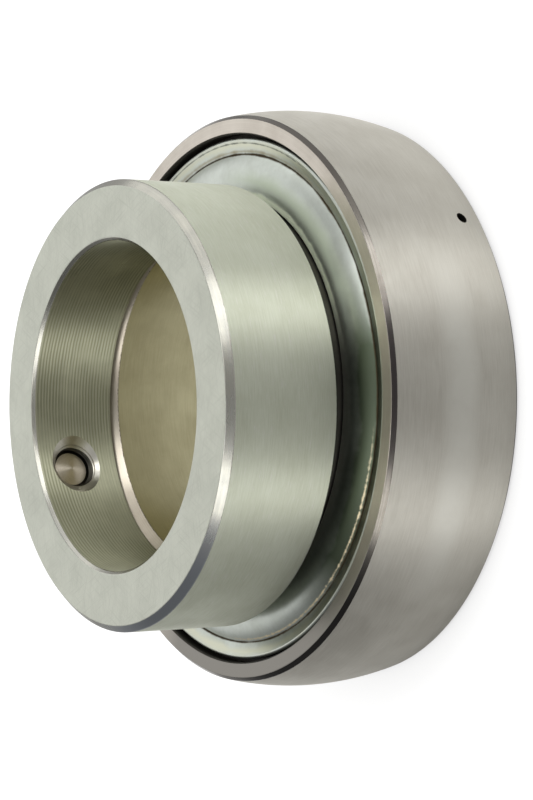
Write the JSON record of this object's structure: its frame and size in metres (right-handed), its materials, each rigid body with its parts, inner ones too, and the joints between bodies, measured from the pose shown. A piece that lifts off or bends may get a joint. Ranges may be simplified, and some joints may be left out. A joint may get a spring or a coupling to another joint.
{
  "type": "insert bearing",
  "caption": "Insert ball bearing with a spherical outer ring, a long inner ring with an eccentric locking collar and set screw, and a two-washer seal on each side.",
  "frame": {"origin": "centre of the spherical outside, on the bearing's axis and in the plane of the balls", "axes": "+Z along the bearing's axis towards the locking collar; +Y from the collar's axis back to the bearing's axis, as the collar hangs on its cam"},
  "size_m": [0.1, 0.1, 0.0484],
  "materials": {
    "bearing_steel": "ground, satin",
    "ball_steel": "polished",
    "cage_plastic": "moulded",
    "zinc_sheet": "zinc plated, drawn sheet",
    "seal_rubber": "matte",
    "collar_steel": "turned, satin, plated",
    "screw_steel": "turned"
  },
  "bodies": {
    "outer": {"outer_ring": "bearing_steel", "front_inner_washer": "zinc_sheet", "front_seal_lip": "seal_rubber", "front_outer_washer": "zinc_sheet", "rear_inner_washer": "zinc_sheet", "rear_seal_lip": "seal_rubber", "rear_outer_washer": "zinc_sheet"},
    "inner": {"inner_ring": "bearing_steel"},
    "cage": {"cage": "cage_plastic"},
    "ball_01": {"ball_01": "ball_steel"},
    "ball_02": {"ball_02": "ball_steel"},
    "ball_03": {"ball_03": "ball_steel"},
    "ball_04": {"ball_04": "ball_steel"},
    "ball_05": {"ball_05": "ball_steel"},
    "ball_06": {"ball_06": "ball_steel"},
    "ball_07": {"ball_07": "ball_steel"},
    "ball_08": {"ball_08": "ball_steel"},
    "ball_09": {"ball_09": "ball_steel"},
    "ball_10": {"ball_10": "ball_steel"},
    "collar": {"locking_collar": "collar_steel"},
    "screw": {"set_screw": "screw_steel"}
  },
  "joints": [
    {"name": "inner_spin", "type": "hinge", "parent": "outer", "child": "inner", "pos_m": [0, 0, 0], "axis": [0, 0, 1], "continuous": true},
    {"name": "cage_orbit", "type": "hinge", "parent": "outer", "child": "cage", "pos_m": [0, 0, 0], "axis": [0, 0, 1], "continuous": true},
    {"name": "collar_turn", "type": "hinge", "parent": "inner", "child": "collar", "pos_m": [0, -0.00061, 0], "axis": [0, 0, 1], "continuous": true},
    {"name": "screw_travel", "type": "slide", "parent": "collar", "child": "screw", "axis": [-0.9245, -0.3811, 0], "range_m": [-0.0015, 0.0075]},
    {"name": "ball_01_spin", "type": "hinge", "parent": "cage", "child": "ball_01", "pos_m": [0.03875, 0, 0], "axis": [0, 0, 1], "continuous": true},
    {"name": "ball_02_spin", "type": "hinge", "parent": "cage", "child": "ball_02", "pos_m": [0.03135, 0.02278, 0], "axis": [0, 0, 1], "continuous": true},
    {"name": "ball_03_spin", "type": "hinge", "parent": "cage", "child": "ball_03", "pos_m": [0.01197, 0.03685, 0], "axis": [0, 0, 1], "continuous": true},
    {"name": "ball_04_spin", "type": "hinge", "parent": "cage", "child": "ball_04", "pos_m": [-0.01197, 0.03685, 0], "axis": [0, 0, 1], "continuous": true},
    {"name": "ball_05_spin", "type": "hinge", "parent": "cage", "child": "ball_05", "pos_m": [-0.03135, 0.02278, 0], "axis": [0, 0, 1], "continuous": true},
    {"name": "ball_06_spin", "type": "hinge", "parent": "cage", "child": "ball_06", "pos_m": [-0.03875, 0, 0], "axis": [0, 0, 1], "continuous": true},
    {"name": "ball_07_spin", "type": "hinge", "parent": "cage", "child": "ball_07", "pos_m": [-0.03135, -0.02278, 0], "axis": [0, 0, 1], "continuous": true},
    {"name": "ball_08_spin", "type": "hinge", "parent": "cage", "child": "ball_08", "pos_m": [-0.01197, -0.03685, 0], "axis": [0, 0, 1], "continuous": true},
    {"name": "ball_09_spin", "type": "hinge", "parent": "cage", "child": "ball_09", "pos_m": [0.01197, -0.03685, 0], "axis": [0, 0, 1], "continuous": true},
    {"name": "ball_10_spin", "type": "hinge", "parent": "cage", "child": "ball_10", "pos_m": [0.03135, -0.02278, 0], "axis": [0, 0, 1], "continuous": true}
  ],
  "couplings": [
    {"joint": "cage_orbit", "follows": "inner_spin", "ratio": 0.40782},
    {"joint": "ball_01_spin", "follows": "inner_spin", "ratio": -2.6199},
    {"joint": "ball_02_spin", "follows": "inner_spin", "ratio": -2.6199},
    {"joint": "ball_03_spin", "follows": "inner_spin", "ratio": -2.6199},
    {"joint": "ball_04_spin", "follows": "inner_spin", "ratio": -2.6199},
    {"joint": "ball_05_spin", "follows": "inner_spin", "ratio": -2.6199},
    {"joint": "ball_06_spin", "follows": "inner_spin", "ratio": -2.6199},
    {"joint": "ball_07_spin", "follows": "inner_spin", "ratio": -2.6199},
    {"joint": "ball_08_spin", "follows": "inner_spin", "ratio": -2.6199},
    {"joint": "ball_09_spin", "follows": "inner_spin", "ratio": -2.6199},
    {"joint": "ball_10_spin", "follows": "inner_spin", "ratio": -2.6199}
  ]
}
